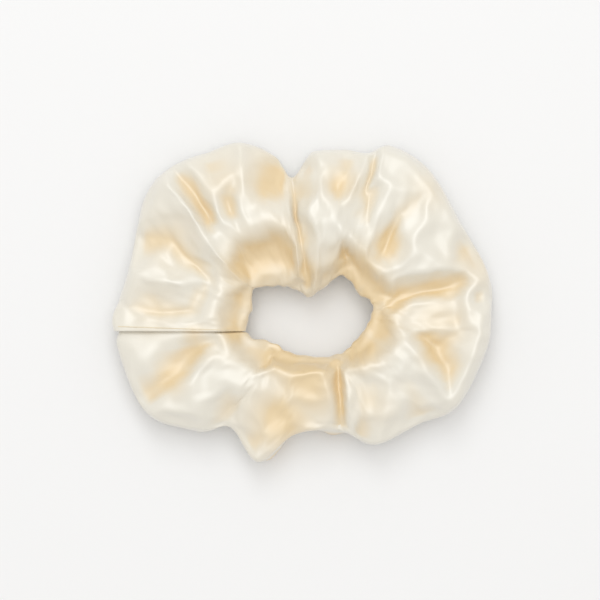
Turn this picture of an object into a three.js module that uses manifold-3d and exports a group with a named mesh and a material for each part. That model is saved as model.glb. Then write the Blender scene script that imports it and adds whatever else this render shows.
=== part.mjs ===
// Scrunchie: a strip of satin sewn into a tube, gathered over a closed loop of flat elastic.
// Units are millimetres. +Z is up and +Y is the back. The ring lies flat on z = 0, and the
// origin is the centre of its footprint. The tube's two ends meet at the closing seam, on the
// left. The satin is one cloth, held as a back and a front half so that the loop can be pulled
// open along Y: they part at the closing seam and at the pleat opposite.
import * as THREE from "three";
import { mergeVertices } from "three/addons/utils/BufferGeometryUtils.js";
import Module from "manifold-3d";

const wasm = await Module();
wasm.setup();

// Satin tube
const WALL = 0.8; // cloth with its gathers pressed together
const GAP = 0.42; // air between neighbouring pieces
const EDGE_HEIGHT = 7; // of the tube's inner and outer edges above the table
const BASE_STEEPNESS = 1.5; // above 1, the underside bottoms out on the table
const SLICES_PER_PLEAT = 3;
const TUCK_PLEATS = 0.35; // how far the turned-in end reaches past the closing seam
const CUT_PLEATS = 0.105; // half of the parting between the halves
const ALLOWANCE = 6; // depth of the lengthwise seam's allowance inside the tube
const SEAM_ANGLE = 5; // degrees of the section taken by the allowance's root, either side
const SHARPEST_MITRE = 0.5; // keeps the wall's corners from running far inwards

// Flat elastic
const BAND_WIDTH = 6;
const BAND_THICKNESS = 1;
const BAND_CENTRE = new THREE.Vector3(2.2, -4.2, EDGE_HEIGHT);
const BAND_RADII = [25.5, 19.5]; // a loop of about 142 mm
const LAP_ANGLE = 32; // degrees of the loop where the ends lie over each other
const LAP_START = 203; // just past the closing seam, inside the front half, degrees from +X
const LAP_BLEND = 50; // degrees over which the outer end climbs on to the inner one
const BAND_STEPS = 72;

// Threads
const THREAD_RADIUS = 0.25;
const TACK_HOLE_RADIUS = 0.6;
const TACK_ROWS = [-1.6, 1.6]; // heights of the zigzag's points about the band's middle
const TACK_POINTS = 6;
const TACK_SHARE = 0.6; // of the lap's length, about its middle
const ROW_STEP = 0.25; // pleats between points of the lengthwise row
const ROW_MARGIN = 0.2; // pleats by which that row stops short of the closing seam
const CLOSING_INSET = 0.1; // pleats from the cut to the closing row
const CLOSING_STEPS = 30;
const TACK_STEPS = 3; // for each point of the zigzag
const THREAD_ARCS = 4;
const TACK_HOLE_LENGTH = 8; // enough to pass both layers of the lap
const TACK_HOLE_SIDES = 10;
const SAME_POINT = 1e-3; // corners nearer than this are one

// The ring's outer edge, one point for each pleat, clockwise from the closing seam: the place
// in plan, and how high the tube's crown stands on that pleat.
const OUTER = [
  [-55, -8, 15], // closing seam
  [-53, 2, 16],
  [-50, 12, 17],
  [-48, 23, 16],
  [-45, 33, 17], // left back corner, low side
  [-38, 40, 17], // left back corner, high side
  [-28, 44, 18],
  [-18, 47, 20], // crown of the left lobe
  [-8, 43, 18],
  [-3, 37, 14], // notch in the back
  [3, 44, 18],
  [12, 45, 20],
  [19, 44, 17], // shallow dip
  [26, 46, 19], // crown of the right lobe
  [37, 39, 19],
  [46, 24, 18],
  [54, 9, 14], // pleat opposite the closing seam
  [55, -4, 16],
  [53, -15, 17],
  [45, -30, 16], // right front point
  [34, -35, 17],
  [21, -41, 18], // front crest
  [11, -37, 13], // cleft beside the front lobe
  [-2, -38, 16], // front lobe
  [-13, -46, 15], // front tip
  [-21, -36, 13], // notch in the front
  [-30, -37, 16],
  [-46, -31, 16], // left front corner
];

// The hole's edge, where every second pleat ends.
const HOLE = [
  [-16, -8], // closing seam
  [-14, -2],
  [-14, 4], // left back corner
  [-8, 5],
  [-2, 4],
  [3, 2], // where the back puff hangs in
  [11, 8], // gap beside the puff
  [16, 3],
  [20, 0], // right end
  [19, -5],
  [15, -11],
  [10, -15], // right front corner
  [-2, -14],
  [-9, -11],
];
const FACING_PLEAT = 16; // the pleat opposite the closing seam

// The outer curve carries the crown's height as its z.
const outerEdge = new THREE.CatmullRomCurve3(
  OUTER.map(([x, y, crown]) => new THREE.Vector3(x, y, crown)),
  true,
);
const innerEdge = new THREE.CatmullRomCurve3(
  HOLE.map(([x, y]) => new THREE.Vector3(x, y, 0)),
  true,
);

// Angles round the tube's section: 0 is the outer edge, 90 the crown, 180 the inner edge.
const SECTION_ANGLES = [0, SEAM_ANGLE];
for (let a = 24; a <= 336; a += 19.5) SECTION_ANGLES.push(a);
SECTION_ANGLES.push(360 - SEAM_ANGLE);

// The tube's section at a pleat number: its inner end, its direction outwards, width and crown.
function station(pleat) {
  const share = (pleat / OUTER.length + 1) % 1;
  const outer = outerEdge.getPoint(share);
  const inner = innerEdge.getPoint(share);
  const crown = outer.z;
  outer.z = 0;
  const across = outer.sub(inner);
  const width = across.length();
  return { inner, across: across.normalize(), width, crown };
}

// A point of a section, as distance from the inner end and height.
function sectionPoint({ width, crown }, degrees) {
  const a = THREE.MathUtils.degToRad(degrees);
  const s = Math.sin(a);
  const height =
    s >= 0
      ? EDGE_HEIGHT + (crown - EDGE_HEIGHT) * s
      : Math.max(0, EDGE_HEIGHT * (1 + BASE_STEEPNESS * s));
  return new THREE.Vector2((width / 2) * (1 + Math.cos(a)), height);
}

// The section's outline moved inwards by a distance, with its corners mitred.
function sectionLoop(at, inset) {
  const outline = SECTION_ANGLES.map((a) => sectionPoint(at, a));
  return outline.map((point, i) => {
    const arriving = point.clone().sub(outline.at(i - 1)).normalize();
    const leaving = outline[(i + 1) % outline.length].clone().sub(point).normalize();
    const along = arriving.clone().add(leaving).normalize();
    const mitre = inset / Math.max(SHARPEST_MITRE, along.dot(leaving));
    return new THREE.Vector2(point.x - along.y * mitre, point.y + along.x * mitre);
  });
}

function place({ inner, across }, { x, y }) {
  return inner.clone().addScaledVector(across, x).setZ(y);
}

// A tube wall through a row of slices, with the seam allowance standing in its cavity.
function tubeWall(slices) {
  const count = SECTION_ANGLES.length;
  const points = [];
  for (const { pleat, outside, inside, allowance } of slices) {
    const at = station(pleat);
    const cavity = sectionLoop(at, inside);
    cavity[0].x -= allowance;
    for (const loop of [sectionLoop(at, outside), cavity])
      points.push(...loop.map((p) => place(at, p)));
  }
  const vertex = (slice, side, i) => (slice * 2 + side) * count + (i % count);
  const faces = [];
  const quad = (a, b, c, d) => faces.push(a, c, b, a, d, c);
  for (let i = 0; i < count; i++) {
    for (let k = 0; k + 1 < slices.length; k++) {
      quad(vertex(k, 0, i), vertex(k + 1, 0, i), vertex(k + 1, 0, i + 1), vertex(k, 0, i + 1));
      quad(vertex(k, 1, i), vertex(k, 1, i + 1), vertex(k + 1, 1, i + 1), vertex(k + 1, 1, i));
    }
    const last = slices.length - 1;
    quad(vertex(0, 0, i), vertex(0, 0, i + 1), vertex(0, 1, i + 1), vertex(0, 1, i));
    quad(vertex(last, 0, i), vertex(last, 1, i), vertex(last, 1, i + 1), vertex(last, 0, i + 1));
  }
  return geometryOf(points.flatMap((p) => p.toArray()), faces);
}

function geometryOf(positions, faces) {
  const geometry = new THREE.BufferGeometry();
  geometry.setAttribute("position", new THREE.Float32BufferAttribute(positions, 3));
  geometry.setIndex(faces);
  geometry.computeVertexNormals();
  return geometry;
}

// Slices from one pleat to another. A wall says how far its two faces lie inside the outline,
// and how deep its seam allowance is.
function run(from, to, wall) {
  const steps = Math.max(1, Math.round((to - from) * SLICES_PER_PLEAT));
  return Array.from({ length: steps + 1 }, (_, k) => ({
    pleat: from + ((to - from) * k) / steps,
    ...wall,
  }));
}

const PLAIN = { outside: 0, inside: WALL, allowance: ALLOWANCE };
const MOUTH = { outside: 0, inside: WALL, allowance: 0 };
const TUCKED = { outside: WALL + GAP, inside: WALL * 2 + GAP, allowance: ALLOWANCE };
const TURNED_IN = { ...TUCKED, outside: 0 };

// From the closing seam, over the back, to the pleat opposite. Its mouth has no allowance,
// which leaves room for the front half's end.
function backHalf() {
  const mouth = TUCK_PLEATS * 2;
  return tubeWall([
    ...run(CUT_PLEATS, mouth, MOUTH),
    ...run(mouth + 1 / SLICES_PER_PLEAT, FACING_PLEAT - CUT_PLEATS, PLAIN),
  ]);
}

// The rest. It thickens where its end is turned in, and that end lies inside the other's mouth.
function frontHalf() {
  const seam = OUTER.length - CUT_PLEATS;
  const turn = seam - 1 / SLICES_PER_PLEAT;
  return tubeWall([
    ...run(FACING_PLEAT + CUT_PLEATS, turn - 1 / SLICES_PER_PLEAT, PLAIN),
    ...run(turn, seam, TURNED_IN),
    ...run(seam, OUTER.length + TUCK_PLEATS, TUCKED),
  ]);
}

// A point on the elastic's middle line. The lap's outer end lies one layer further out.
function bandPoint(degrees, offset = 0) {
  const turned = degrees - LAP_START;
  const climb = THREE.MathUtils.smoothstep(turned, 360 - LAP_BLEND, 360);
  const out = climb * (BAND_THICKNESS + GAP) + offset;
  const a = THREE.MathUtils.degToRad(degrees);
  const [rx, ry] = BAND_RADII;
  return new THREE.Vector3((rx + out) * Math.cos(a), (ry + out) * Math.sin(a), 0).add(BAND_CENTRE);
}

// Holes for the tack, as pairs of angle and height along the middle of the lap.
const TACK = Array.from({ length: TACK_POINTS }, (_, i) => [
  LAP_START + LAP_ANGLE * (0.5 + TACK_SHARE * (i / (TACK_POINTS - 1) - 0.5)),
  TACK_ROWS[i % 2],
]);

function elasticBand() {
  const step = (360 + LAP_ANGLE) / BAND_STEPS;
  const line = Array.from({ length: BAND_STEPS + 1 }, (_, i) => bandPoint(LAP_START + step * i));
  const [w, t] = [BAND_WIDTH / 2, BAND_THICKNESS / 2];
  const section = new THREE.Shape([
    new THREE.Vector2(-w, -t),
    new THREE.Vector2(w, -t),
    new THREE.Vector2(w, t),
    new THREE.Vector2(-w, t),
  ]);
  const extrudePath = new THREE.CatmullRomCurve3(line);
  let band = solid(new THREE.ExtrudeGeometry(section, { steps: BAND_STEPS, extrudePath }));
  for (const [angle, height] of TACK) {
    const hole = new THREE.CylinderGeometry(
      TACK_HOLE_RADIUS,
      TACK_HOLE_RADIUS,
      TACK_HOLE_LENGTH,
      TACK_HOLE_SIDES,
    );
    hole.rotateZ(Math.PI / 2 + bandNormal(angle));
    const centre = bandPoint(angle);
    hole.translate(centre.x, centre.y, centre.z + height);
    band = band.subtract(solid(hole));
  }
  return meshOf(band);
}

// Direction of the band's outward normal in plan.
function bandNormal(degrees) {
  const along = bandPoint(degrees + 1).sub(bandPoint(degrees - 1));
  return Math.atan2(-along.x, along.y);
}

// In and out through the two layers of the lap, in a zigzag.
function tackThread() {
  const inside = -BAND_THICKNESS / 2 - THREAD_RADIUS - GAP;
  const outside = BAND_THICKNESS * 1.5 + GAP * 2 + THREAD_RADIUS;
  const line = [];
  TACK.forEach(([angle, height], i) => {
    const [from, to] = i % 2 ? [outside, inside] : [inside, outside];
    for (const share of [0, 0.25, 0.75, 1]) {
      const offset = THREE.MathUtils.lerp(from, to, share);
      const normal = bandNormal(angle);
      const p = bandPoint(angle);
      p.add(new THREE.Vector3(Math.cos(normal) * offset, Math.sin(normal) * offset, height));
      line.push(p);
    }
  });
  return thread(new THREE.CatmullRomCurve3(line), line.length * TACK_STEPS);
}

function thread(extrudePath, steps) {
  const section = new THREE.Shape();
  section.absarc(0, 0, THREAD_RADIUS, 0, Math.PI * 2);
  return new THREE.ExtrudeGeometry(section, { steps, extrudePath, curveSegments: THREAD_ARCS });
}

// The row that makes the strip a tube. It lies on the allowance, from end to end of the tube.
function lengthwiseThread() {
  const line = [];
  const end = OUTER.length - ROW_MARGIN;
  for (let pleat = TUCK_PLEATS + ROW_MARGIN; pleat < end; pleat += ROW_STEP) {
    const at = station(pleat);
    const height = EDGE_HEIGHT + WALL + GAP + THREAD_RADIUS;
    line.push(place(at, { x: at.width - ALLOWANCE, y: height }));
  }
  return thread(new THREE.CatmullRomCurve3(line), line.length);
}

// The row across the top of the closing seam.
function closingThread() {
  const at = station(CUT_PLEATS + CLOSING_INSET);
  const lift = -(GAP + THREAD_RADIUS);
  const line = sectionLoop(at, lift)
    .filter((_, i) => SECTION_ANGLES[i] > 10 && SECTION_ANGLES[i] < 175)
    .map((p) => place(at, p));
  return thread(new THREE.CatmullRomCurve3(line), CLOSING_STEPS);
}

// A closed geometry as a solid for cutting.
function solid(geometry) {
  const bare = geometry.clone();
  bare.deleteAttribute("normal");
  bare.deleteAttribute("uv");
  const merged = mergeVertices(bare, SAME_POINT);
  return new wasm.Manifold(
    new wasm.Mesh({
      numProp: 3,
      vertProperties: merged.attributes.position.array,
      triVerts: new Uint32Array(merged.index.array),
    }),
  );
}

function meshOf(cut) {
  const { numProp, vertProperties, triVerts } = cut.getMesh();
  const positions = [];
  for (let i = 0; i < vertProperties.length; i += numProp)
    positions.push(...vertProperties.slice(i, i + 3));
  return geometryOf(positions, [...triVerts]);
}

const satin = new THREE.MeshStandardMaterial({ color: 0xf0e6cc, roughness: 0.35, metalness: 0 });
const elastic = new THREE.MeshStandardMaterial({ color: 0xf4f1ea, roughness: 0.9, metalness: 0 });
const sewing = new THREE.MeshStandardMaterial({ color: 0xe6d6b0, roughness: 0.6, metalness: 0 });

const scrunchie = new THREE.Group();
function add(name, geometry, material) {
  const mesh = new THREE.Mesh(geometry, material);
  mesh.name = name;
  scrunchie.add(mesh);
}

add("cover_back_half", backHalf(), satin);
add("cover_front_half", frontHalf(), satin);
add("elastic_band", elasticBand(), elastic);
add("elastic_tack_thread", tackThread(), sewing);
add("lengthwise_seam_thread", lengthwiseThread(), sewing);
add("closing_seam_thread", closingThread(), sewing);

// The outline's curves bulge a little past its points, so the footprint is centred here.
const box = new THREE.Box3().setFromObject(scrunchie);
const middle = box.getCenter(new THREE.Vector3());
scrunchie.position.set(-middle.x, -middle.y, -box.min.z);

export default scrunchie;
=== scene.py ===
"""A cream satin scrunchie, lying flat: its cover, the elastic in it and the threads that hold
them, with a plain floor and soft light. Lengths are in metres unless a name says mm."""

import math

import bpy
import numpy as np
from mathutils import Matrix, Vector
from mathutils.geometry import delaunay_2d_cdt


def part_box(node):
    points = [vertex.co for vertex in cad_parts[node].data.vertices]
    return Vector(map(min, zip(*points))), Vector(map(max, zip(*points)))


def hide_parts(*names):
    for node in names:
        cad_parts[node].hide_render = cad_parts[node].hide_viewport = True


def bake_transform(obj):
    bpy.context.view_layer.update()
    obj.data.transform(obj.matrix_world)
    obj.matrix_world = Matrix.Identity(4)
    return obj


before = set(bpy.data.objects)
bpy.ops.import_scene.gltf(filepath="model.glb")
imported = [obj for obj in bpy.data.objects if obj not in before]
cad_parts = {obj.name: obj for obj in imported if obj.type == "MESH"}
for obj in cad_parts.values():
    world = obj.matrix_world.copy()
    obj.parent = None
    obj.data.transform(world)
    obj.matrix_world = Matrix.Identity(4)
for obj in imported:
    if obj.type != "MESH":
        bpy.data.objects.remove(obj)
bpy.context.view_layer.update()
MM = 0.001

# ---- Camera -------------------------------------------------------------------------------
# Straight above, with the ring's back at the top of the picture.
VIEW_WIDTH = 174 * MM
CAMERA_HEIGHT = 0.9
BAND_MIDDLE = 10 * MM
PICTURE_MIDDLE = (-0.6 * MM, 0.6 * MM)

camera_data = bpy.data.cameras.new("camera")
camera_data.sensor_width = 36
camera_data.lens = 36 * (CAMERA_HEIGHT - BAND_MIDDLE) / VIEW_WIDTH
camera = bpy.data.objects.new("camera", camera_data)
camera.location = (*PICTURE_MIDDLE, CAMERA_HEIGHT)
bpy.context.scene.collection.objects.link(camera)
bpy.context.scene.camera = camera

# ---- Floor and light ----------------------------------------------------------------------
# A white table in a white room, under two round soft lamps: a small one from the back and a
# large one almost straight above.
bpy.ops.object.select_all(action="DESELECT")
bpy.ops.mesh.primitive_plane_add(size=3)
floor = bpy.context.object
floor.name = "floor"
table = bpy.data.materials.new("white_table")
table.use_nodes = True
table.node_tree.nodes["Principled BSDF"].inputs["Base Color"].default_value = (0.86, 0.86, 0.865, 1)
table.node_tree.nodes["Principled BSDF"].inputs["Roughness"].default_value = 0.8
floor.data.materials.append(table)


def soft_box(name, size, watts, distance, azimuth, elevation, colour):
    """A round lamp that faces the origin. The azimuth is in degrees, clockwise from the back."""
    data = bpy.data.lights.new(name, "AREA")
    data.shape = "DISK"
    data.size = size
    data.energy = watts
    data.color = colour
    lamp = bpy.data.objects.new(name, data)
    a, e = math.radians(azimuth), math.radians(elevation)
    place = Vector((math.sin(a) * math.cos(e), math.cos(a) * math.cos(e), math.sin(e))) * distance
    lamp.location = place
    lamp.rotation_euler = place.to_track_quat("Z", "Y").to_euler()
    bpy.context.scene.collection.objects.link(lamp)


LAMP_COLOUR = (0.95, 0.98, 1)
soft_box("key_light", 0.5, 1.8, 1.1, azimuth=-6, elevation=52, colour=LAMP_COLOUR)
soft_box("overhead_light", 1.1, 4.7, 1.3, azimuth=0, elevation=80, colour=LAMP_COLOUR)
world = bpy.data.worlds.new("white_room")
world.use_nodes = True
world.node_tree.nodes["Background"].inputs["Color"].default_value = (1, 0.98, 0.95, 1)
world.node_tree.nodes["Background"].inputs["Strength"].default_value = 0.755
bpy.context.scene.world = world
bpy.context.scene.view_settings.view_transform = "Standard"

# ---- Elastic ------------------------------------------------------------------------------
# One length of flat white braided elastic, lapped into a loop on the left. Braiding leaves
# fine ribs along it. It lies on edge inside the cover and draws the satin into gathers.
ELASTIC_THICKNESS = 0.9 * MM
LAP_START = math.radians(203)
LAP_ANGLE = math.radians(32)
LAP_BLEND = math.radians(50)
LAP_GAP = 0.45 * MM
RIBS = 9
RIB_DEPTH = 0.06 * MM

band_low, band_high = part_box("elastic_band")
band_centre = (band_low + band_high) / 2
band_radius_x, band_radius_y = (
    (band_high[axis] - band_low[axis]) / 2 - ELASTIC_THICKNESS for axis in (0, 1)
)
band_width = band_high.z - band_low.z - 0.2 * MM


def band_place(angle, height=0.0, offset=0.0):
    """A point of the loop: its outer end climbs on to the inner one, a layer further out."""
    climb = min(1, max(0, (angle - LAP_START - 2 * math.pi + LAP_BLEND) / LAP_BLEND))
    climb = climb * climb * (3 - 2 * climb)
    out = climb * (ELASTIC_THICKNESS + LAP_GAP) + offset
    return Vector((
        band_centre.x + (band_radius_x + out) * math.cos(angle),
        band_centre.y + (band_radius_y + out) * math.sin(angle),
        band_centre.z + height,
    ))


bpy.ops.object.select_all(action="DESELECT")
bpy.ops.mesh.primitive_grid_add(x_subdivisions=240, y_subdivisions=RIBS * 4, size=1)
elastic = bpy.context.object
elastic.name = elastic.data.name = "elastic_loop"
for vertex in elastic.data.vertices:
    along, across = vertex.co.x + 0.5, vertex.co.y + 0.5
    rib = RIB_DEPTH * abs(math.sin(math.pi * RIBS * across))
    angle = LAP_START + along * (2 * math.pi + LAP_ANGLE)
    vertex.co = band_place(angle, (across - 0.5) * band_width, rib)
bpy.ops.object.shade_smooth()
thick = elastic.modifiers.new("thick", "SOLIDIFY")
thick.thickness = ELASTIC_THICKNESS
thick.offset = 0
bpy.ops.object.modifier_apply(modifier="thick")

braid = bpy.data.materials.new("braided_elastic")
braid.use_nodes = True
nodes, links = braid.node_tree.nodes, braid.node_tree.links
shader = nodes["Principled BSDF"]
shader.inputs["Roughness"].default_value = 0.85
shader.inputs["Sheen Weight"].default_value = 0.3
where = nodes.new("ShaderNodeTexCoord")
strands = nodes.new("ShaderNodeTexNoise")
strands.inputs["Scale"].default_value = 1800
links.new(where.outputs["Object"], strands.inputs["Vector"])
shade = nodes.new("ShaderNodeMix")
shade.data_type = "RGBA"
shade.inputs[6].default_value = (0.78, 0.76, 0.70, 1)
shade.inputs[7].default_value = (0.92, 0.90, 0.86, 1)
links.new(strands.outputs["Fac"], shade.inputs[0])
links.new(shade.outputs[2], shader.inputs["Base Color"])
raised_strands = nodes.new("ShaderNodeBump")
raised_strands.inputs["Strength"].default_value = 0.4
raised_strands.inputs["Distance"].default_value = 0.1 * MM
links.new(strands.outputs["Fac"], raised_strands.inputs["Height"])
links.new(raised_strands.outputs["Normal"], shader.inputs["Normal"])
elastic.data.materials.append(braid)
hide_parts("elastic_band")

# The whole scrunchie pulls open along Y, so every piece stretches between its front and back.
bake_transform(elastic)

# ---- Elastic tack -------------------------------------------------------------------------
# Cream polyester thread, sewn in a zigzag through the two layers of the elastic's lap.
THREAD_RADIUS = 0.16 * MM
TACK_POINTS = 6
TACK_HEIGHT = 1.6 * MM

sewing = bpy.data.materials.new("sewing_thread")
sewing.use_nodes = True
nodes, links = sewing.node_tree.nodes, sewing.node_tree.links
shader = nodes["Principled BSDF"]
shader.inputs["Roughness"].default_value = 0.6
shader.inputs["Sheen Weight"].default_value = 0.3
where = nodes.new("ShaderNodeTexCoord")
plies = nodes.new("ShaderNodeTexNoise")
plies.inputs["Scale"].default_value = 3000
links.new(where.outputs["Object"], plies.inputs["Vector"])
shade = nodes.new("ShaderNodeMix")
shade.data_type = "RGBA"
shade.inputs[6].default_value = (0.74, 0.62, 0.42, 1)
shade.inputs[7].default_value = (0.86, 0.78, 0.60, 1)
links.new(plies.outputs["Fac"], shade.inputs[0])
links.new(shade.outputs[2], shader.inputs["Base Color"])


def sewn_row(name, runs, radius=THREAD_RADIUS):
    """A thread as one closed round body for each run of points, joined in one mesh."""
    curve = bpy.data.curves.new(name, "CURVE")
    curve.dimensions = "3D"
    curve.bevel_depth = radius
    curve.bevel_resolution = 1
    curve.use_fill_caps = True
    for run in runs:
        spline = curve.splines.new("POLY")
        spline.points.add(len(run) - 1)
        for point, place in zip(spline.points, run):
            point.co = (*place, 1)
    row = bpy.data.objects.new(name, curve)
    bpy.context.scene.collection.objects.link(row)
    bpy.ops.object.select_all(action="DESELECT")
    row.select_set(True)
    bpy.context.view_layer.objects.active = row
    bpy.ops.object.convert(target="MESH")
    row = bpy.context.object
    row.data.name = name
    bpy.ops.object.shade_smooth()
    row.data.materials.append(sewing)
    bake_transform(row)
    return row


zigzag = []
inside = -ELASTIC_THICKNESS / 2 - THREAD_RADIUS
outside = ELASTIC_THICKNESS * 1.5 + LAP_GAP + THREAD_RADIUS
for i in range(TACK_POINTS):
    angle = LAP_START + LAP_ANGLE * (0.5 + 0.6 * (i / (TACK_POINTS - 1) - 0.5))
    height = TACK_HEIGHT * (-1) ** i
    ends = (inside, outside) if i % 2 == 0 else (outside, inside)
    zigzag += [band_place(angle, height, end) for end in ends]
tack = sewn_row("elastic_tack", [zigzag])
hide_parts("elastic_tack_thread")

# ---- Satin cover --------------------------------------------------------------------------
# One strip of cream polyester satin, sewn along its length into a tube and gathered over the
# elastic. The tube's two ends join at the left, one turned in and laid over the other. The
# long seam lies at the outer edge, with its allowances inside the tube.
STRIP_WIDTH = 88 * MM
STRIP_LENGTH = 340 * MM
SATIN_THICKNESS = 0.25 * MM
INNER_HEIGHT = 8.5  # of the hole's edge above the table, in millimetres
OUTER_HEIGHT = 8
OUTER_TILT = 0.035  # the front edge lies a little higher than the back one
EDGE_WAVES = 0.9  # millimetres by which the outer edge rises and falls
ALLOWANCE = 6
EDGE_GAP = 0.13  # from the seam to the cloth either side of it
SLICES = 252
TOP_POINTS = 27
BOTTOM_POINTS = 15

# The ring in plan, in millimetres: its outer edge at each pleat, clockwise from the closing
# seam, and the hole's edge at every second pleat. They are the CAD cover's own points.
OUTER = [
    (-55, -8), (-53, 2), (-50, 12), (-48, 23), (-45, 33), (-38, 40), (-28, 44),
    (-18, 47), (-8, 43), (-3, 37), (3, 44), (12, 45), (19, 44), (26, 46),
    (37, 39), (46, 24), (54, 9), (55, -4), (53, -15), (45, -30), (34, -35),
    (21, -41), (11, -37), (-2, -38), (-13, -46), (-21, -36), (-30, -37), (-46, -31),
]  # fmt: skip
HOLE = [
    (-16, -8), (-14, -2), (-14, 4), (-8, 5), (-2, 4), (3, 2), (11, 8),
    (16, 3), (20, 0), (19, -5), (15, -11), (10, -15), (-2, -14), (-9, -11),
]  # fmt: skip
PLEATS = len(OUTER)

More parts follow.
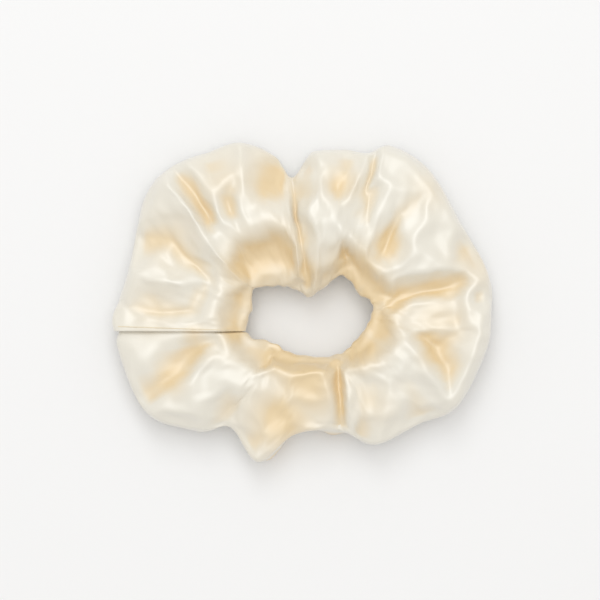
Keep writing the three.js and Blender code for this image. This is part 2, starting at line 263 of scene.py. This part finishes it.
# Where the satin creases. Each fold is a line of points: pleat number, share of the way from
# the outer edge to the hole, and height in millimetres.
FOLDS = {
    "seam valley": [(0.75, 0.12, 12), (0.7, 0.35, 12.5), (1, 0.55, 13.5)],
    "seam rise": [(0.35, 0.3, 14.5), (0.35, 0.6, 16.5)],
    "left swell": [(1.7, 0.12, 15), (1.8, 0.3, 17.5), (2, 0.42, 17.5)],
    "upper left valley": [(3.3, 0.1, 11.5), (3.2, 0.3, 11.5), (2.9, 0.5, 12.5), (2.6, 0.64, 14)],
    "inner crest": [(3, 0.7, 16.5), (2, 0.72, 17.5), (1, 0.74, 17.5), (0.4, 0.76, 17)],
    "left crest": [
        (4.6, 0.12, 16), (4.55, 0.3, 19.5), (4.2, 0.55, 20), (3.9, 0.75, 18.5), (3.9, 0.93, 14),
    ],
    "left furrow": [(5, 0.1, 10.5), (5.05, 0.25, 11.5), (4.95, 0.45, 13)],
    "second crest": [(5.4, 0.1, 14), (5.5, 0.3, 18.5), (5.2, 0.5, 19), (4.8, 0.6, 18)],
    "small pit": [(5.9, 0.36, 14.5), (5.8, 0.45, 14.5)],
    "crown crest": [(7, 0.06, 12), (6.8, 0.2, 17), (6.4, 0.35, 19), (6.1, 0.48, 18.5)],
    "slot": [(6.5, 0.43, 17.5), (6.9, 0.42, 17.8)],
    "plateau": [(6.3, 0.52, 19.5), (6.9, 0.51, 20), (7.6, 0.49, 20), (8.2, 0.46, 19)],
    "bowl rim": [
        (5.3, 0.64, 17.5), (6.2, 0.63, 18.5), (7, 0.58, 19.8), (8, 0.57, 19.5), (8.35, 0.6, 18.5),
    ],
    "bowl": [(5, 0.79, 11.5), (6, 0.73, 12), (7.2, 0.68, 12.5), (8, 0.74, 12)],
    "notch furrow": [(9, 0.06, 8.5), (9, 0.2, 10.5), (8.95, 0.38, 13)],
    "neck side": [(9.1, 0.42, 14.5), (9.15, 0.54, 15)],
    "neck crest": [
        (8.6, 0.28, 15.5), (8.7, 0.45, 18.5), (8.75, 0.58, 18.5), (8.7, 0.72, 17), (8.6, 0.86, 14),
    ],
    "tooth furrow": [(9.2, 0.6, 16), (9.4, 0.75, 14), (9.7, 0.9, 11)],
    "puff": [(9.6, 0.36, 20), (10, 0.5, 21.5), (10.7, 0.56, 21.5)],
    "tooth": [(10.3, 0.66, 20.5), (10.3, 0.82, 17.5), (10.1, 0.94, 13)],
    "puff edge": [(11.5, 0.72, 19.5), (11.5, 0.84, 16), (11.5, 0.94, 12)],
    "diagonal": [
        (10.3, 0.28, 19), (11.1, 0.54, 22.5), (11.9, 0.68, 22), (13.4, 0.76, 20), (14.4, 0.78, 18.5),
        (15.4, 0.76, 16),
    ],
    "inner hollow": [(12, 0.82, 11.5), (12.8, 0.86, 11), (13.8, 0.9, 10.5), (15, 0.92, 10.5)],
    "lens left": [(10.2, 0.1, 14), (10.3, 0.2, 16.5)],
    "lens": [(11.3, 0.2, 14.5), (10.9, 0.32, 15.5)],
    "lens crest": [(12, 0.08, 13), (11.9, 0.2, 17), (11.6, 0.35, 19), (11.2, 0.45, 20)],
    "dip furrow": [(12.4, 0.06, 10.5), (12.5, 0.2, 13), (12.3, 0.34, 15)],
    "first rib": [(12.7, 0.1, 14.5), (12.8, 0.26, 18.5)],
    "groove": [(12.9, 0.34, 15.5), (12.8, 0.52, 16.5)],
    "second rib": [(13.3, 0.3, 18.5), (13.3, 0.48, 19), (13.4, 0.66, 18)],
    "deep valley": [(13.9, 0.42, 15.5), (14, 0.58, 13.5), (14, 0.68, 14)],
    "right rib": [(14.5, 0.26, 18.5), (14.7, 0.46, 19), (14.9, 0.62, 17.5)],
    "back corner": [(13.5, 0.1, 14.5), (14.2, 0.12, 16), (15, 0.1, 15)],
    "upper ridge": [(15.2, 0.66, 16.5), (15.45, 0.5, 18), (15.65, 0.32, 17.5), (15.8, 0.2, 15)],
    "great fold": [(16, 0.26, 11.5), (16.1, 0.5, 10.5), (16.1, 0.8, 10)],
    "right plane": [(16.5, 0.7, 14.5), (16.5, 0.5, 14.5), (16.5, 0.34, 14)],
    "curl": [(16.1, 0.12, 15), (16.35, 0.22, 16.5), (16.7, 0.21, 16.5), (16.9, 0.12, 16)],
    "curl pit": [(16.45, 0.1, 12), (16.5, 0.15, 12)],
    "long ridge": [
        (17, 0.22, 16.5), (17.5, 0.12, 17), (18.1, 0.13, 17.5), (18.5, 0.13, 17), (18.95, 0.05, 13.5),
    ],
    "right valley": [(18, 0.54, 12.5), (18.2, 0.42, 11.5), (18.55, 0.24, 12)],
    "right spur": [(17.9, 0.64, 16), (17.6, 0.42, 15.5), (17.5, 0.28, 14.5)],
    "swirl crest": [
        (17.2, 0.84, 15), (18.2, 0.66, 18.5), (18.5, 0.5, 19.5), (18.8, 0.3, 19), (19, 0.12, 16),
    ],
    "facet top": [(21.4, 0.82, 16), (20.6, 0.78, 17.5), (19.6, 0.7, 18), (18.9, 0.56, 18.5)],
    "facet ridge": [(19.9, 0.5, 17.5), (20.5, 0.24, 16.5), (20.9, 0.07, 13)],
    "facet dip": [(19.8, 0.2, 13.5), (19.5, 0.34, 15.5)],
    "facet hollow": [(21.1, 0.6, 15), (21.1, 0.35, 14)],
    "facet side": [(21.65, 0.8, 15.5), (21.65, 0.45, 16.5), (21.7, 0.12, 13.5)],
    "cleft": [(21.95, 0.86, 11.5), (21.95, 0.5, 10.5), (21.95, 0.16, 9.5)],
    "lobe side": [(22.25, 0.78, 15), (22.25, 0.45, 16.5), (22.25, 0.14, 13.5)],
    "lobe top": [(22.6, 0.8, 17.3), (23.8, 0.8, 17.5), (24.8, 0.78, 17)],
    "lobe": [(23.6, 0.55, 15.8), (23.4, 0.3, 13.8), (24, 0.25, 13.4)],
    "lobe hem": [(22.6, 0.06, 12.6), (23.4, 0.06, 12.2), (24.1, 0.06, 12)],
    "lobe crest": [(25.6, 0.66, 17), (25.2, 0.5, 17), (24.9, 0.33, 16), (24.9, 0.12, 13)],
    "lobe pinch": [(25.3, 0.84, 11), (25.2, 0.76, 12.5)],
    "left tip": [(25.3, 0.12, 11), (25.35, 0.28, 13)],
    "left piece": [(26.3, 0.5, 17), (26.3, 0.2, 15.5)],
    "corner crest": [(27.8, 0.8, 16.5), (27, 0.77, 17), (26.2, 0.72, 17)],
    "fan crest": [(27.25, 0.6, 17.5), (27, 0.4, 17.5), (26.9, 0.1, 14.5)],
    "fan furrow": [(27.7, 0.7, 13.5), (27.4, 0.52, 11.5), (27.15, 0.22, 11), (27.05, 0.08, 10)],
    "outer ridge": [(27.7, 0.32, 14.5), (27.6, 0.18, 15), (27.45, 0.08, 12.5)],
}  # fmt: skip
# The heights along the closing seam, from the outer edge to the hole: of the turned-in end,
# which lies on top, and of the end that goes into it.
SEAM_SHARES = (0, 0.1, 0.45, 0.75, 1)
SEAM_TOP = (OUTER_HEIGHT, 13, 16, 16.5, INNER_HEIGHT)
SEAM_UNDER = (OUTER_HEIGHT, 12.4, 15.2, 15.2, INNER_HEIGHT)
UNDER_PLEAT = PLEATS - 0.15
HEM = 0.3  # pleats of cloth turned in at the top end
HEM_INSET = 0.9  # how far the turned-in cloth lies inside the tube, in millimetres
TUCK = 0.35  # pleats by which the under end goes in
TUCK_INSET = 1.7
END_SLICES = 4


def closed_curve(points, at):
    """A closed Catmull-Rom curve through the points, at shares of the way round."""
    points = np.array(points, float)
    count = len(points)
    place = np.asarray(at) * count
    k = np.floor(place).astype(int)
    t = (place - k)[:, None]
    p0, p1, p2, p3 = (points[(k + step) % count] for step in (-1, 0, 1, 2))
    return 0.5 * (
        2 * p1
        + (p2 - p0) * t
        + (2 * p0 - 5 * p1 + 4 * p2 - p3) * t**2
        + (3 * p1 - p0 - 3 * p2 + p3) * t**3
    )


fine_line = closed_curve(OUTER, np.arange(400) / 400)
centring = (fine_line.max(0) + fine_line.min(0)) / 2


def in_plan(pleat, share):
    """The place in plan at a pleat number and a share of the way from the edge to the hole."""
    pleat = np.atleast_1d(np.asarray(pleat, float))
    outer = closed_curve(OUTER, pleat / PLEATS % 1)
    inner = closed_curve(HOLE, pleat / PLEATS % 1)
    return outer + (inner - outer) * np.reshape(share, (-1, 1)) - centring


def outer_height(pleat, y):
    """The edge's height, which rises and falls a little with the pleats."""
    turn = 2 * math.pi * np.asarray(pleat) / PLEATS
    waves = 0.7 * np.sin(5 * turn + 1) + 0.6 * np.sin(11 * turn + 2) + 0.5 * np.sin(18 * turn)
    return OUTER_HEIGHT - OUTER_TILT * y + EDGE_WAVES * waves


def heights_between_folds(x, y):
    """Heights of the flat facets that the satin makes between its folds and its two edges."""
    points, heights, edges = [], [], []

    def add(plan, line_heights, closed=False):
        first = len(points)
        points.extend(Vector(p) for p in plan)
        heights.extend(line_heights)
        edges.extend((first + k, first + k + 1) for k in range(len(plan) - 1))
        if closed:
            edges.append((first + len(plan) - 1, first))

    every_slice = np.linspace(0, PLEATS, SLICES, endpoint=False)
    edge = in_plan(every_slice, 0)
    add(edge, outer_height(every_slice, edge[:, 1]), closed=True)
    add(in_plan(every_slice, 1), [INNER_HEIGHT] * SLICES, closed=True)
    for pleat, seam in ((0.02, SEAM_TOP), (UNDER_PLEAT, SEAM_UNDER)):
        add([in_plan(pleat, s)[0] for s in SEAM_SHARES[1:-1]], seam[1:-1])
    for fold in FOLDS.values():
        add([in_plan(p, s)[0] for p, s, _ in fold], [height for _, _, height in fold])
    corners, _, facets, sources, _, _ = delaunay_2d_cdt(points, edges, [], 0, 1e-4)
    xy = np.array([tuple(c) for c in corners])
    z = np.array([np.mean([heights[i] for i in s]) if s else np.nan for s in sources])
    for i in np.flatnonzero(np.isnan(z)):
        nearest = np.argsort(((xy - xy[i]) ** 2).sum(1))[1:3]
        z[i] = np.nanmean(z[nearest])
    found = np.full(x.shape, INNER_HEIGHT, float)
    for a, b, c in facets:
        u, v = xy[b] - xy[a], xy[c] - xy[a]
        area = u[0] * v[1] - u[1] * v[0]
        if abs(area) < 1e-9:
            continue
        dx, dy = x - xy[a][0], y - xy[a][1]
        s = (dx * v[1] - dy * v[0]) / area
        t = (u[0] * dy - u[1] * dx) / area
        inside = (s > -1e-6) & (t > -1e-6) & (s + t < 1 + 1e-6)
        found[inside] = (z[a] + s * (z[b] - z[a]) + t * (z[c] - z[a]))[inside]
    return found


# The slices of the strip, from its turned-in end round to the end inside it: each has a pleat
# number, the pleat whose heights it takes, and how far it lies inside the outline.
hem = [(p, p, HEM_INSET) for p in np.linspace(HEM, 0.04, END_SLICES)]
hem += [(0.0, 0.02, HEM_INSET / 2)]
body = [(p, np.clip(p, 0.02, UNDER_PLEAT), 0.0) for p in np.linspace(0, PLEATS - 0.12, SLICES)]
tuck = [(PLEATS + p, max(p, 0.02), TUCK_INSET) for p in np.linspace(0, TUCK, END_SLICES)]
slice_pleat, slice_height_pleat, slice_inset = (np.array(c) for c in zip(*hem, *body, *tuck))
rows = len(slice_pleat)

# The points across the strip crowd towards the two edges, where it bends most.
CROWDING = 0.6
turn = np.linspace(0, math.pi, TOP_POINTS)
top_share = 1 - (CROWDING * (1 + np.cos(turn)) / 2 + (1 - CROWDING) * (1 - turn / math.pi))
turn = np.linspace(0, math.pi, BOTTOM_POINTS)[1:]
bottom_share = (1 + np.cos(turn)) / 2


# The cloth that is turned in or put inside is narrower than the tube, and the hole's rim is
# drawn into small uneven gathers.
MEAN_WIDTH = 34
GATHER_DEPTH = 0.28
narrowing = 1 - 2 * slice_inset / MEAN_WIDTH
random = np.random.default_rng(7)
gathers = np.convolve(random.normal(size=rows), np.hanning(11) / 2, "same") * GATHER_DEPTH


def grid(pleats, shares):
    narrowed = 0.5 + (shares[None] - 0.5) * narrowing[:, None]
    flat = in_plan(np.repeat(pleats, len(shares)), narrowed.ravel()).reshape(rows, -1, 2)
    radial = flat[:, np.argmax(shares)] - flat[:, np.argmin(shares)]
    radial /= np.linalg.norm(radial, axis=1)[:, None]
    return flat + radial[:, None] * (gathers[:, None] * shares**4)[..., None]


top = grid(slice_pleat, top_share)
# The cloth turns over sharply at its edge, so the folds reach almost to it.
EDGE_REACH = 0.06
lookup = grid(slice_height_pleat, top_share + EDGE_REACH * (1 - top_share) ** 6)
top_height = heights_between_folds(lookup[..., 0], lookup[..., 1])
edge_height = outer_height(slice_pleat, top[:, 0, 1])[:, None]
top_height[:, 0] = edge_height[:, 0] + EDGE_GAP
top_height[:, -1] = INNER_HEIGHT
settled = top_height.copy()
settled[1:-1, 1:-1] = top_height[1:-1, 1:-1] * 0.8 + 0.05 * (
    top_height[2:, 1:-1] + top_height[:-2, 1:-1] + top_height[1:-1, 2:] + top_height[1:-1, :-2]
)
joined = len(hem)
settled[joined] = top_height[joined]

def smoothed(values, along, across):
    """Values evened out over their neighbours, by one window along the strip and one across."""
    for axis, window in enumerate((along, across)):
        values = np.apply_along_axis(np.convolve, axis, values, window / np.sum(window), "same")
    return values


# Small soft creases across the gathers, deeper towards the hole, where the cloth is bunched.
CREASE_DEPTH = 0.28
RUMPLE_DEPTH = 0.3
creases = smoothed(random.normal(size=(rows, TOP_POINTS)), np.hanning(7), np.hanning(13))
creases *= CREASE_DEPTH / creases.std() * 0.6
settled += creases * np.sin(math.pi * top_share) ** 0.7 * (0.35 + 0.65 * top_share)
rumple_window = np.array([0.25, 0.5, 0.25])
rumple = smoothed(random.normal(size=(rows, TOP_POINTS)), rumple_window, rumple_window)
settled += RUMPLE_DEPTH * rumple * np.sin(math.pi * top_share)
# The elastic holds the cloth up where it runs.
# It does so fully within a tenth of the loop's radius of it, and not at all past 0.42 of it.
OVER_ELASTIC = 1.3  # from the elastic's top edge to the cloth over it, in millimetres
band_low, band_high = (np.array(corner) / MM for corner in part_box("elastic_band"))
band_middle, band_radii = (band_low + band_high) / 2, (band_high - band_low) / 2
from_band = np.linalg.norm((top - band_middle[:2]) / band_radii[:2], axis=-1)
over_band = np.clip(1.35 - 3.2 * np.abs(from_band - 1), 0, 1)
lifted = np.maximum(settled, band_high[2] + OVER_ELASTIC)
settled += over_band * (lifted - settled)
STEEP_EDGE = 60  # how soon, in from an edge, the inner layer lies a full inset lower
top_height = settled - slice_inset[:, None] * np.minimum(1, STEEP_EDGE * top_share * (1 - top_share))

# The under layer shows past the edge in two places: pleat, and how far in millimetres.
PEEKS = [(22.2, 3), (23.5, 3.8)]
PEEK_PLEATS = 0.3
PEEK_SHARE = 0.05
bottom = grid(slice_pleat, bottom_share)
outwards = top[:, 0] - top[:, -1]
outwards /= np.linalg.norm(outwards, axis=1)[:, None]
peek = sum(reach * np.exp(-(((slice_pleat - pleat) / PEEK_PLEATS) ** 2)) for pleat, reach in PEEKS)
ledge = bottom_share / PEEK_SHARE * np.exp(1 - bottom_share / PEEK_SHARE)
SIDE_RIPPLE = 0.8  # of the wall under the edge, in millimetres
ripple = np.convolve(random.normal(size=rows), np.hanning(9), "same")
ripple *= SIDE_RIPPLE / ripple.std()
bottom += outwards[:, None] * ((peek + ripple)[:, None] * ledge)[..., None]
# The underside hangs from the same edges, in looser creases, until it lies on the table. The
# logarithm rounds it off to a flat there.
LOWEST = 0.3  # its height above the table, in millimetres
UNDER_CREASE_DEPTH = 1.5
under = random.normal(size=(rows, len(bottom_share)))
under = smoothed(under, np.hanning(9), np.hanning(11))
under *= UNDER_CREASE_DEPTH / under.std()
fullness = 4 * bottom_share * (1 - bottom_share)
rim = INNER_HEIGHT + (edge_height - EDGE_GAP - INNER_HEIGHT) * (1 - bottom_share)
hanging = rim * (1 - fullness**0.45 * 1.12) + under * fullness**0.6
bottom_height = LOWEST + np.logaddexp(0, (hanging - LOWEST) * 2) / 2 * fullness**0.2
bottom_height[:, -1] = edge_height[:, 0] - EDGE_GAP
bottom_height += slice_inset[:, None] * np.minimum(1, fullness)

# The allowances, which lie flat against each other inside the edge.
width = np.linalg.norm(top[:, -1] - top[:, 0], axis=1)[:, None]
inward = (top[:, -1] - top[:, 0]) / width
steps = np.array([ALLOWANCE, ALLOWANCE / 2, 0.5])
upper_allowance = top[:, :1] + inward[:, None] * steps[None, :, None]
lower_allowance = upper_allowance[:, ::-1]


def raised(plan, height):
    return np.dstack([plan, np.broadcast_to(height, plan.shape[:2])])


strip = np.concatenate(
    [
        raised(upper_allowance, edge_height + 0.1),
        raised(top, top_height),
        raised(bottom, bottom_height),
        raised(lower_allowance, edge_height - 0.1),
    ],
    axis=1,
)
columns = strip.shape[1]
first_top = len(steps)
number = np.arange(rows * columns).reshape(rows, columns)
corners_of = (number[:-1, :-1], number[:-1, 1:], number[1:, 1:], number[1:, :-1])
faces = np.stack(corners_of, -1).reshape(-1, 4)
cover_mesh = bpy.data.meshes.new("satin_cover")
cover_mesh.from_pydata((strip.reshape(-1, 3) * MM).tolist(), [], faces.tolist())
cover = bpy.data.objects.new("satin_cover", cover_mesh)
bpy.context.scene.collection.objects.link(cover)
along_strip = np.repeat(np.linspace(0, STRIP_LENGTH, rows), columns)
across_strip = np.tile(np.linspace(0, STRIP_WIDTH, columns), rows)
weave_map = cover_mesh.uv_layers.new(name="strip")
loop_vertices = np.zeros(len(cover_mesh.loops), int)
cover_mesh.loops.foreach_get("vertex_index", loop_vertices)
strip_uv = np.stack([along_strip[loop_vertices], across_strip[loop_vertices]], 1)
weave_map.data.foreach_set("uv", strip_uv.ravel())
bpy.ops.object.select_all(action="DESELECT")
cover.select_set(True)
bpy.context.view_layer.objects.active = cover
bpy.ops.object.shade_smooth()

# The satin is cut a little larger than the shape above and settled by cloth simulation, so it
# buckles between its folds. The solver hardly moves cloth this small, so it works on a large
# copy of the scale below.
LEAST_SLACK = 0.03
MOST_SLACK = 0.14
SIM_SCALE = 20
SETTLING_FRAMES = 20
FOLD_REACH = 1.1  # millimetres either side of a fold that keep its height
# How firmly the cloth is held at the shape above, from 0 to 1.
FOLD_HOLD = 0.85
EDGE_HOLD = 0.85
BESIDE_EDGE_HOLD = 0.5
UNDERSIDE_HOLD = 0.8
# Where the gathers bunch most: pleat, share across, reach in millimetres and amount.
BUNCHES = [(12.8, 0.4, 18, 1), (10, 0.35, 10, 0.7), (6.3, 0.4, 10, 0.6), (16.2, 0.3, 9, 0.6)]

fold_points = []
for fold in FOLDS.values():
    for (p0, s0, _), (p1, s1, _) in zip(fold, fold[1:]):
        for t in np.linspace(0, 1, 12):
            fold_points.append(in_plan(p0 + (p1 - p0) * t, s0 + (s1 - s0) * t)[0])
to_fold = np.sqrt(((top[:, :, None] - np.array(fold_points)) ** 2).sum(-1).min(-1))
hold = np.full((rows, columns), UNDERSIDE_HOLD)
last_top = first_top + TOP_POINTS - 1
hold[:, first_top : last_top + 1] = FOLD_HOLD * np.clip(1 - to_fold / FOLD_REACH, 0, 1)
hold[:, first_top + 1] = np.maximum(hold[:, first_top + 1], BESIDE_EDGE_HOLD)
hold[:, [first_top, last_top]] = EDGE_HOLD
hold[: joined + 2] = 1
hold[-len(tuck) - 2 :] = 1


def spread(plan, places):
    """How strongly the places act at each point of a plan, fading with the distance."""
    strength = np.zeros(plan.shape[:-1])
    for pleat, share, reach, amount in places:
        away = np.linalg.norm(plan - in_plan(pleat, share)[0], axis=-1)
        strength = np.maximum(strength, amount * np.exp(-((away / reach) ** 2)))
    return strength


slack = spread(strip[..., :2], BUNCHES)
for name, weights in (("held", hold), ("slack", slack)):
    group = cover.vertex_groups.new(name=name)
    rounded = np.round(weights, 1)
    for weight in np.unique(rounded):
        group.add(number[rounded == weight].tolist(), float(weight), "REPLACE")

# Places where painted shade turns the satin's colour tan, in the same form as the bunches above.
PAINTED_SHADE_PLACES = [
    (5.8, 0.78, 7.5, 0.75), (7.3, 0.72, 7.5, 0.75), (4.7, 0.82, 5, 0.75), (2.6, 0.92, 5, 0.45),
    (0.8, 0.92, 5, 0.4), (7.7, 0.2, 7.5, 0.65), (6.1, 0.22, 7, 0.4), (11.1, 0.25, 5, 0.65),
    (9.5, 0.8, 3, 0.8), (13.2, 0.9, 6, 1), (15, 0.93, 5, 0.8), (14, 0.6, 4, 0.7),
    (16.1, 0.45, 3.5, 0.6), (16.2, 0.8, 4, 0.8), (17.2, 0.45, 8, 0.5), (18.35, 0.42, 3.5, 0.8),
    (18, 0.93, 6, 0.7), (20, 0.93, 6, 0.8), (23, 0.62, 9, 1), (23.6, 0.35, 9, 1),
    (24.5, 0.92, 7, 0.8), (21.95, 0.3, 2, 0.6), (20.7, 0.4, 6, 0.3), (27.15, 0.3, 3.5, 0.7),
    (27.55, 0.6, 3.5, 0.6), (27.88, 0.6, 3, 0.7), (27.9, 0.9, 3, 0.9), (3.2, 0.3, 8, 0.3),
    (0.7, 0.3, 7, 0.3), (14.2, 0.1, 6, 0.3), (15.8, 0.08, 7, 0.35),
]  # fmt: skip
# How far painted shade takes the satin's colour from cream to tan at each point: a little near
# the hole, more in a hollow, and most at the places above and where the under layer shows.
SHADE_NEAR_HOLE = 0.35
SHADE_IN_HOLLOW = 0.8
DEEP_HOLLOW = 2.5  # millimetres below the cloth around it, for the whole of that


def near_hole(share):
    """From 0 at 0.62 of the way to the hole to 1 at 0.92 of it."""
    return np.clip((share - 0.62) / 0.3, 0, 1)


painted_shade = np.zeros((rows, columns))
around = smoothed(top_height, np.ones(15), np.ones(9))
hollow = np.clip((around - top_height) / DEEP_HOLLOW, 0, 1)
top_painted_shade = SHADE_NEAR_HOLE * near_hole(top_share) + SHADE_IN_HOLLOW * hollow + spread(top, PAINTED_SHADE_PLACES)
painted_shade[:, first_top : last_top + 1] = np.clip(top_painted_shade, 0, 1)
# The under layer gets painted shade near the hole and where it shows past the edge.
under_painted_shade = np.maximum(SHADE_NEAR_HOLE * near_hole(bottom_share), peek[:, None] / 2 * ledge)
painted_shade[:, last_top + 1 : last_top + 1 + bottom_share.size] = under_painted_shade
painted_shade_amount = cover_mesh.attributes.new("painted_shade", "FLOAT", "POINT")
painted_shade_amount.data.foreach_set("value", painted_shade.ravel())
cover_mesh.transform(Matrix.Scale(SIM_SCALE, 4))
cloth = cover.modifiers.new("settling", "CLOTH")
settings = cloth.settings
settings.quality = 6
settings.mass = 0.15
settings.tension_stiffness = 30
settings.compression_stiffness = 30
settings.shear_stiffness = 8
settings.bending_model = "ANGULAR"
settings.bending_stiffness = 0.25
settings.bending_damping = 0.5
settings.tension_damping = 3
settings.compression_damping = 3
settings.shear_damping = 3
settings.air_damping = 1
settings.vertex_group_mass = "held"
settings.pin_stiffness = 5
settings.shrink_min = -LEAST_SLACK
settings.shrink_max = -MOST_SLACK
settings.vertex_group_shrink = "slack"
settings.effector_weights.gravity = 0.3
cloth.collision_settings.use_collision = False
cloth.collision_settings.use_self_collision = False
cloth.point_cache.frame_end = SETTLING_FRAMES
for frame_number in range(1, SETTLING_FRAMES + 1):
    bpy.context.scene.frame_set(frame_number)
bpy.ops.object.modifier_apply(modifier="settling")
cover_mesh.transform(Matrix.Scale(1 / SIM_SCALE, 4))
bpy.context.scene.frame_set(1)
cover.vertex_groups.clear()
finer = cover.modifiers.new("finer", "SUBSURF")
finer.levels = finer.render_levels = 1
finer.boundary_smooth = "PRESERVE_CORNERS"
bpy.ops.object.modifier_apply(modifier="finer")
wall = cover.modifiers.new("wall", "SOLIDIFY")
wall.thickness = SATIN_THICKNESS
wall.offset = -1
bpy.ops.object.modifier_apply(modifier="wall")

# Satin floats its threads on the face, so it shines. Its colour is cream, with painted shade in tan
# patches.
satin = bpy.data.materials.new("cream_satin")
satin.use_nodes = True
shader = satin.node_tree.nodes["Principled BSDF"]
CREAM = (0.785, 0.75, 0.66, 1)
# The tan stands for painted shade, mixed into the cream by the attribute below.
PAINTED_SHADE_TAN = (0.78, 0.605, 0.35, 1)
nodes, links = satin.node_tree.nodes, satin.node_tree.links
painted_shade_share = nodes.new("ShaderNodeAttribute")
painted_shade_share.attribute_name = "painted_shade"
colour = nodes.new("ShaderNodeMix")
colour.data_type = "RGBA"
colour.inputs[6].default_value = CREAM
colour.inputs[7].default_value = PAINTED_SHADE_TAN
links.new(painted_shade_share.outputs["Fac"], colour.inputs[0])
links.new(colour.outputs[2], shader.inputs["Base Color"])
shader.inputs["Specular IOR Level"].default_value = 0.9
shader.inputs["Sheen Weight"].default_value = 0.2
shader.inputs["Sheen Roughness"].default_value = 0.4
shader.inputs["Coat Weight"].default_value = 0.8
shader.inputs["Coat IOR"].default_value = 1.8
shader.inputs["Coat Roughness"].default_value = 0.43
# The floats run along the strip, so fine streaks follow them and lift the surface a little.
strip_map = nodes.new("ShaderNodeUVMap")
strip_map.uv_map = "strip"
stretch_map = nodes.new("ShaderNodeMapping")
stretch_map.inputs["Scale"].default_value = (500, 4000, 1)
floats = nodes.new("ShaderNodeTexNoise")
floats.inputs["Scale"].default_value = 1
floats.inputs["Detail"].default_value = 3
links.new(strip_map.outputs["UV"], stretch_map.inputs["Vector"])
links.new(stretch_map.outputs["Vector"], floats.inputs["Vector"])
weave = nodes.new("ShaderNodeBump")
weave.inputs["Strength"].default_value = 0.12
weave.inputs["Distance"].default_value = 0.05 * MM
links.new(floats.outputs["Fac"], weave.inputs["Height"])
links.new(weave.outputs["Normal"], shader.inputs["Normal"])
lustre = nodes.new("ShaderNodeMapRange")
lustre.inputs["To Min"].default_value = 0.38
lustre.inputs["To Max"].default_value = 0.54
links.new(floats.outputs["Fac"], lustre.inputs["Value"])
links.new(lustre.outputs["Result"], shader.inputs["Roughness"])
cover_mesh.materials.append(satin)
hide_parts("cover_back_half", "cover_front_half")
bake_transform(cover)

# ---- Lengthwise seam ----------------------------------------------------------------------
# Lockstitch in cream thread through both allowances, which makes the strip a tube. It is
# inside the tube, just in from the outer edge.
STITCH = 2.5 * MM
STITCH_GAP = 0.5 * MM
SEAM_IN = 1.4 * MM

seam_line = [Vector((*(top[i, 0] + inward[i] * SEAM_IN / MM), edge_height[i, 0] - 0.05)) * MM
             for i in range(joined, rows - len(tuck))]  # fmt: skip


def lockstitches(line, lift):
    """Stitches of one length along a line of points, each rising over the cloth and in again."""
    runs, travelled = [], 0.0
    start = None
    for a, b in zip(line, line[1:]):
        if start is None:
            start, travelled = a, 0.0
        travelled += (b - a).length
        if travelled >= STITCH - STITCH_GAP:
            middle = (start + b) / 2 + Vector((0, 0, lift))
            runs.append([start, start.lerp(middle, 0.5) + Vector((0, 0, lift / 4)), middle,
                         b.lerp(middle, 0.5) + Vector((0, 0, lift / 4)), b])  # fmt: skip
            start = None
    return runs


seam_row = sewn_row("lengthwise_seam", lockstitches(seam_line, 0.35 * MM), 0.12 * MM)
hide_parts("lengthwise_seam_thread")

# ---- Closing seam -------------------------------------------------------------------------
# A short row of the same stitch across the top of the tube, through the turned-in end and the
# end inside it.
ROW_PLEAT = 0.1
bpy.context.view_layer.update()
row_line = []
for share in np.linspace(0.05, 0.95, 120):
    place = in_plan(ROW_PLEAT, share)[0] * MM
    struck, point, _, _ = cover.ray_cast(Vector((*place, 50 * MM)), Vector((0, 0, -1)))
    if struck:
        row_line.append(point + Vector((0, 0, 0.05 * MM)))
closing_row = sewn_row("closing_seam", lockstitches(row_line, 0.12 * MM), 0.11 * MM)
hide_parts("closing_seam_thread")
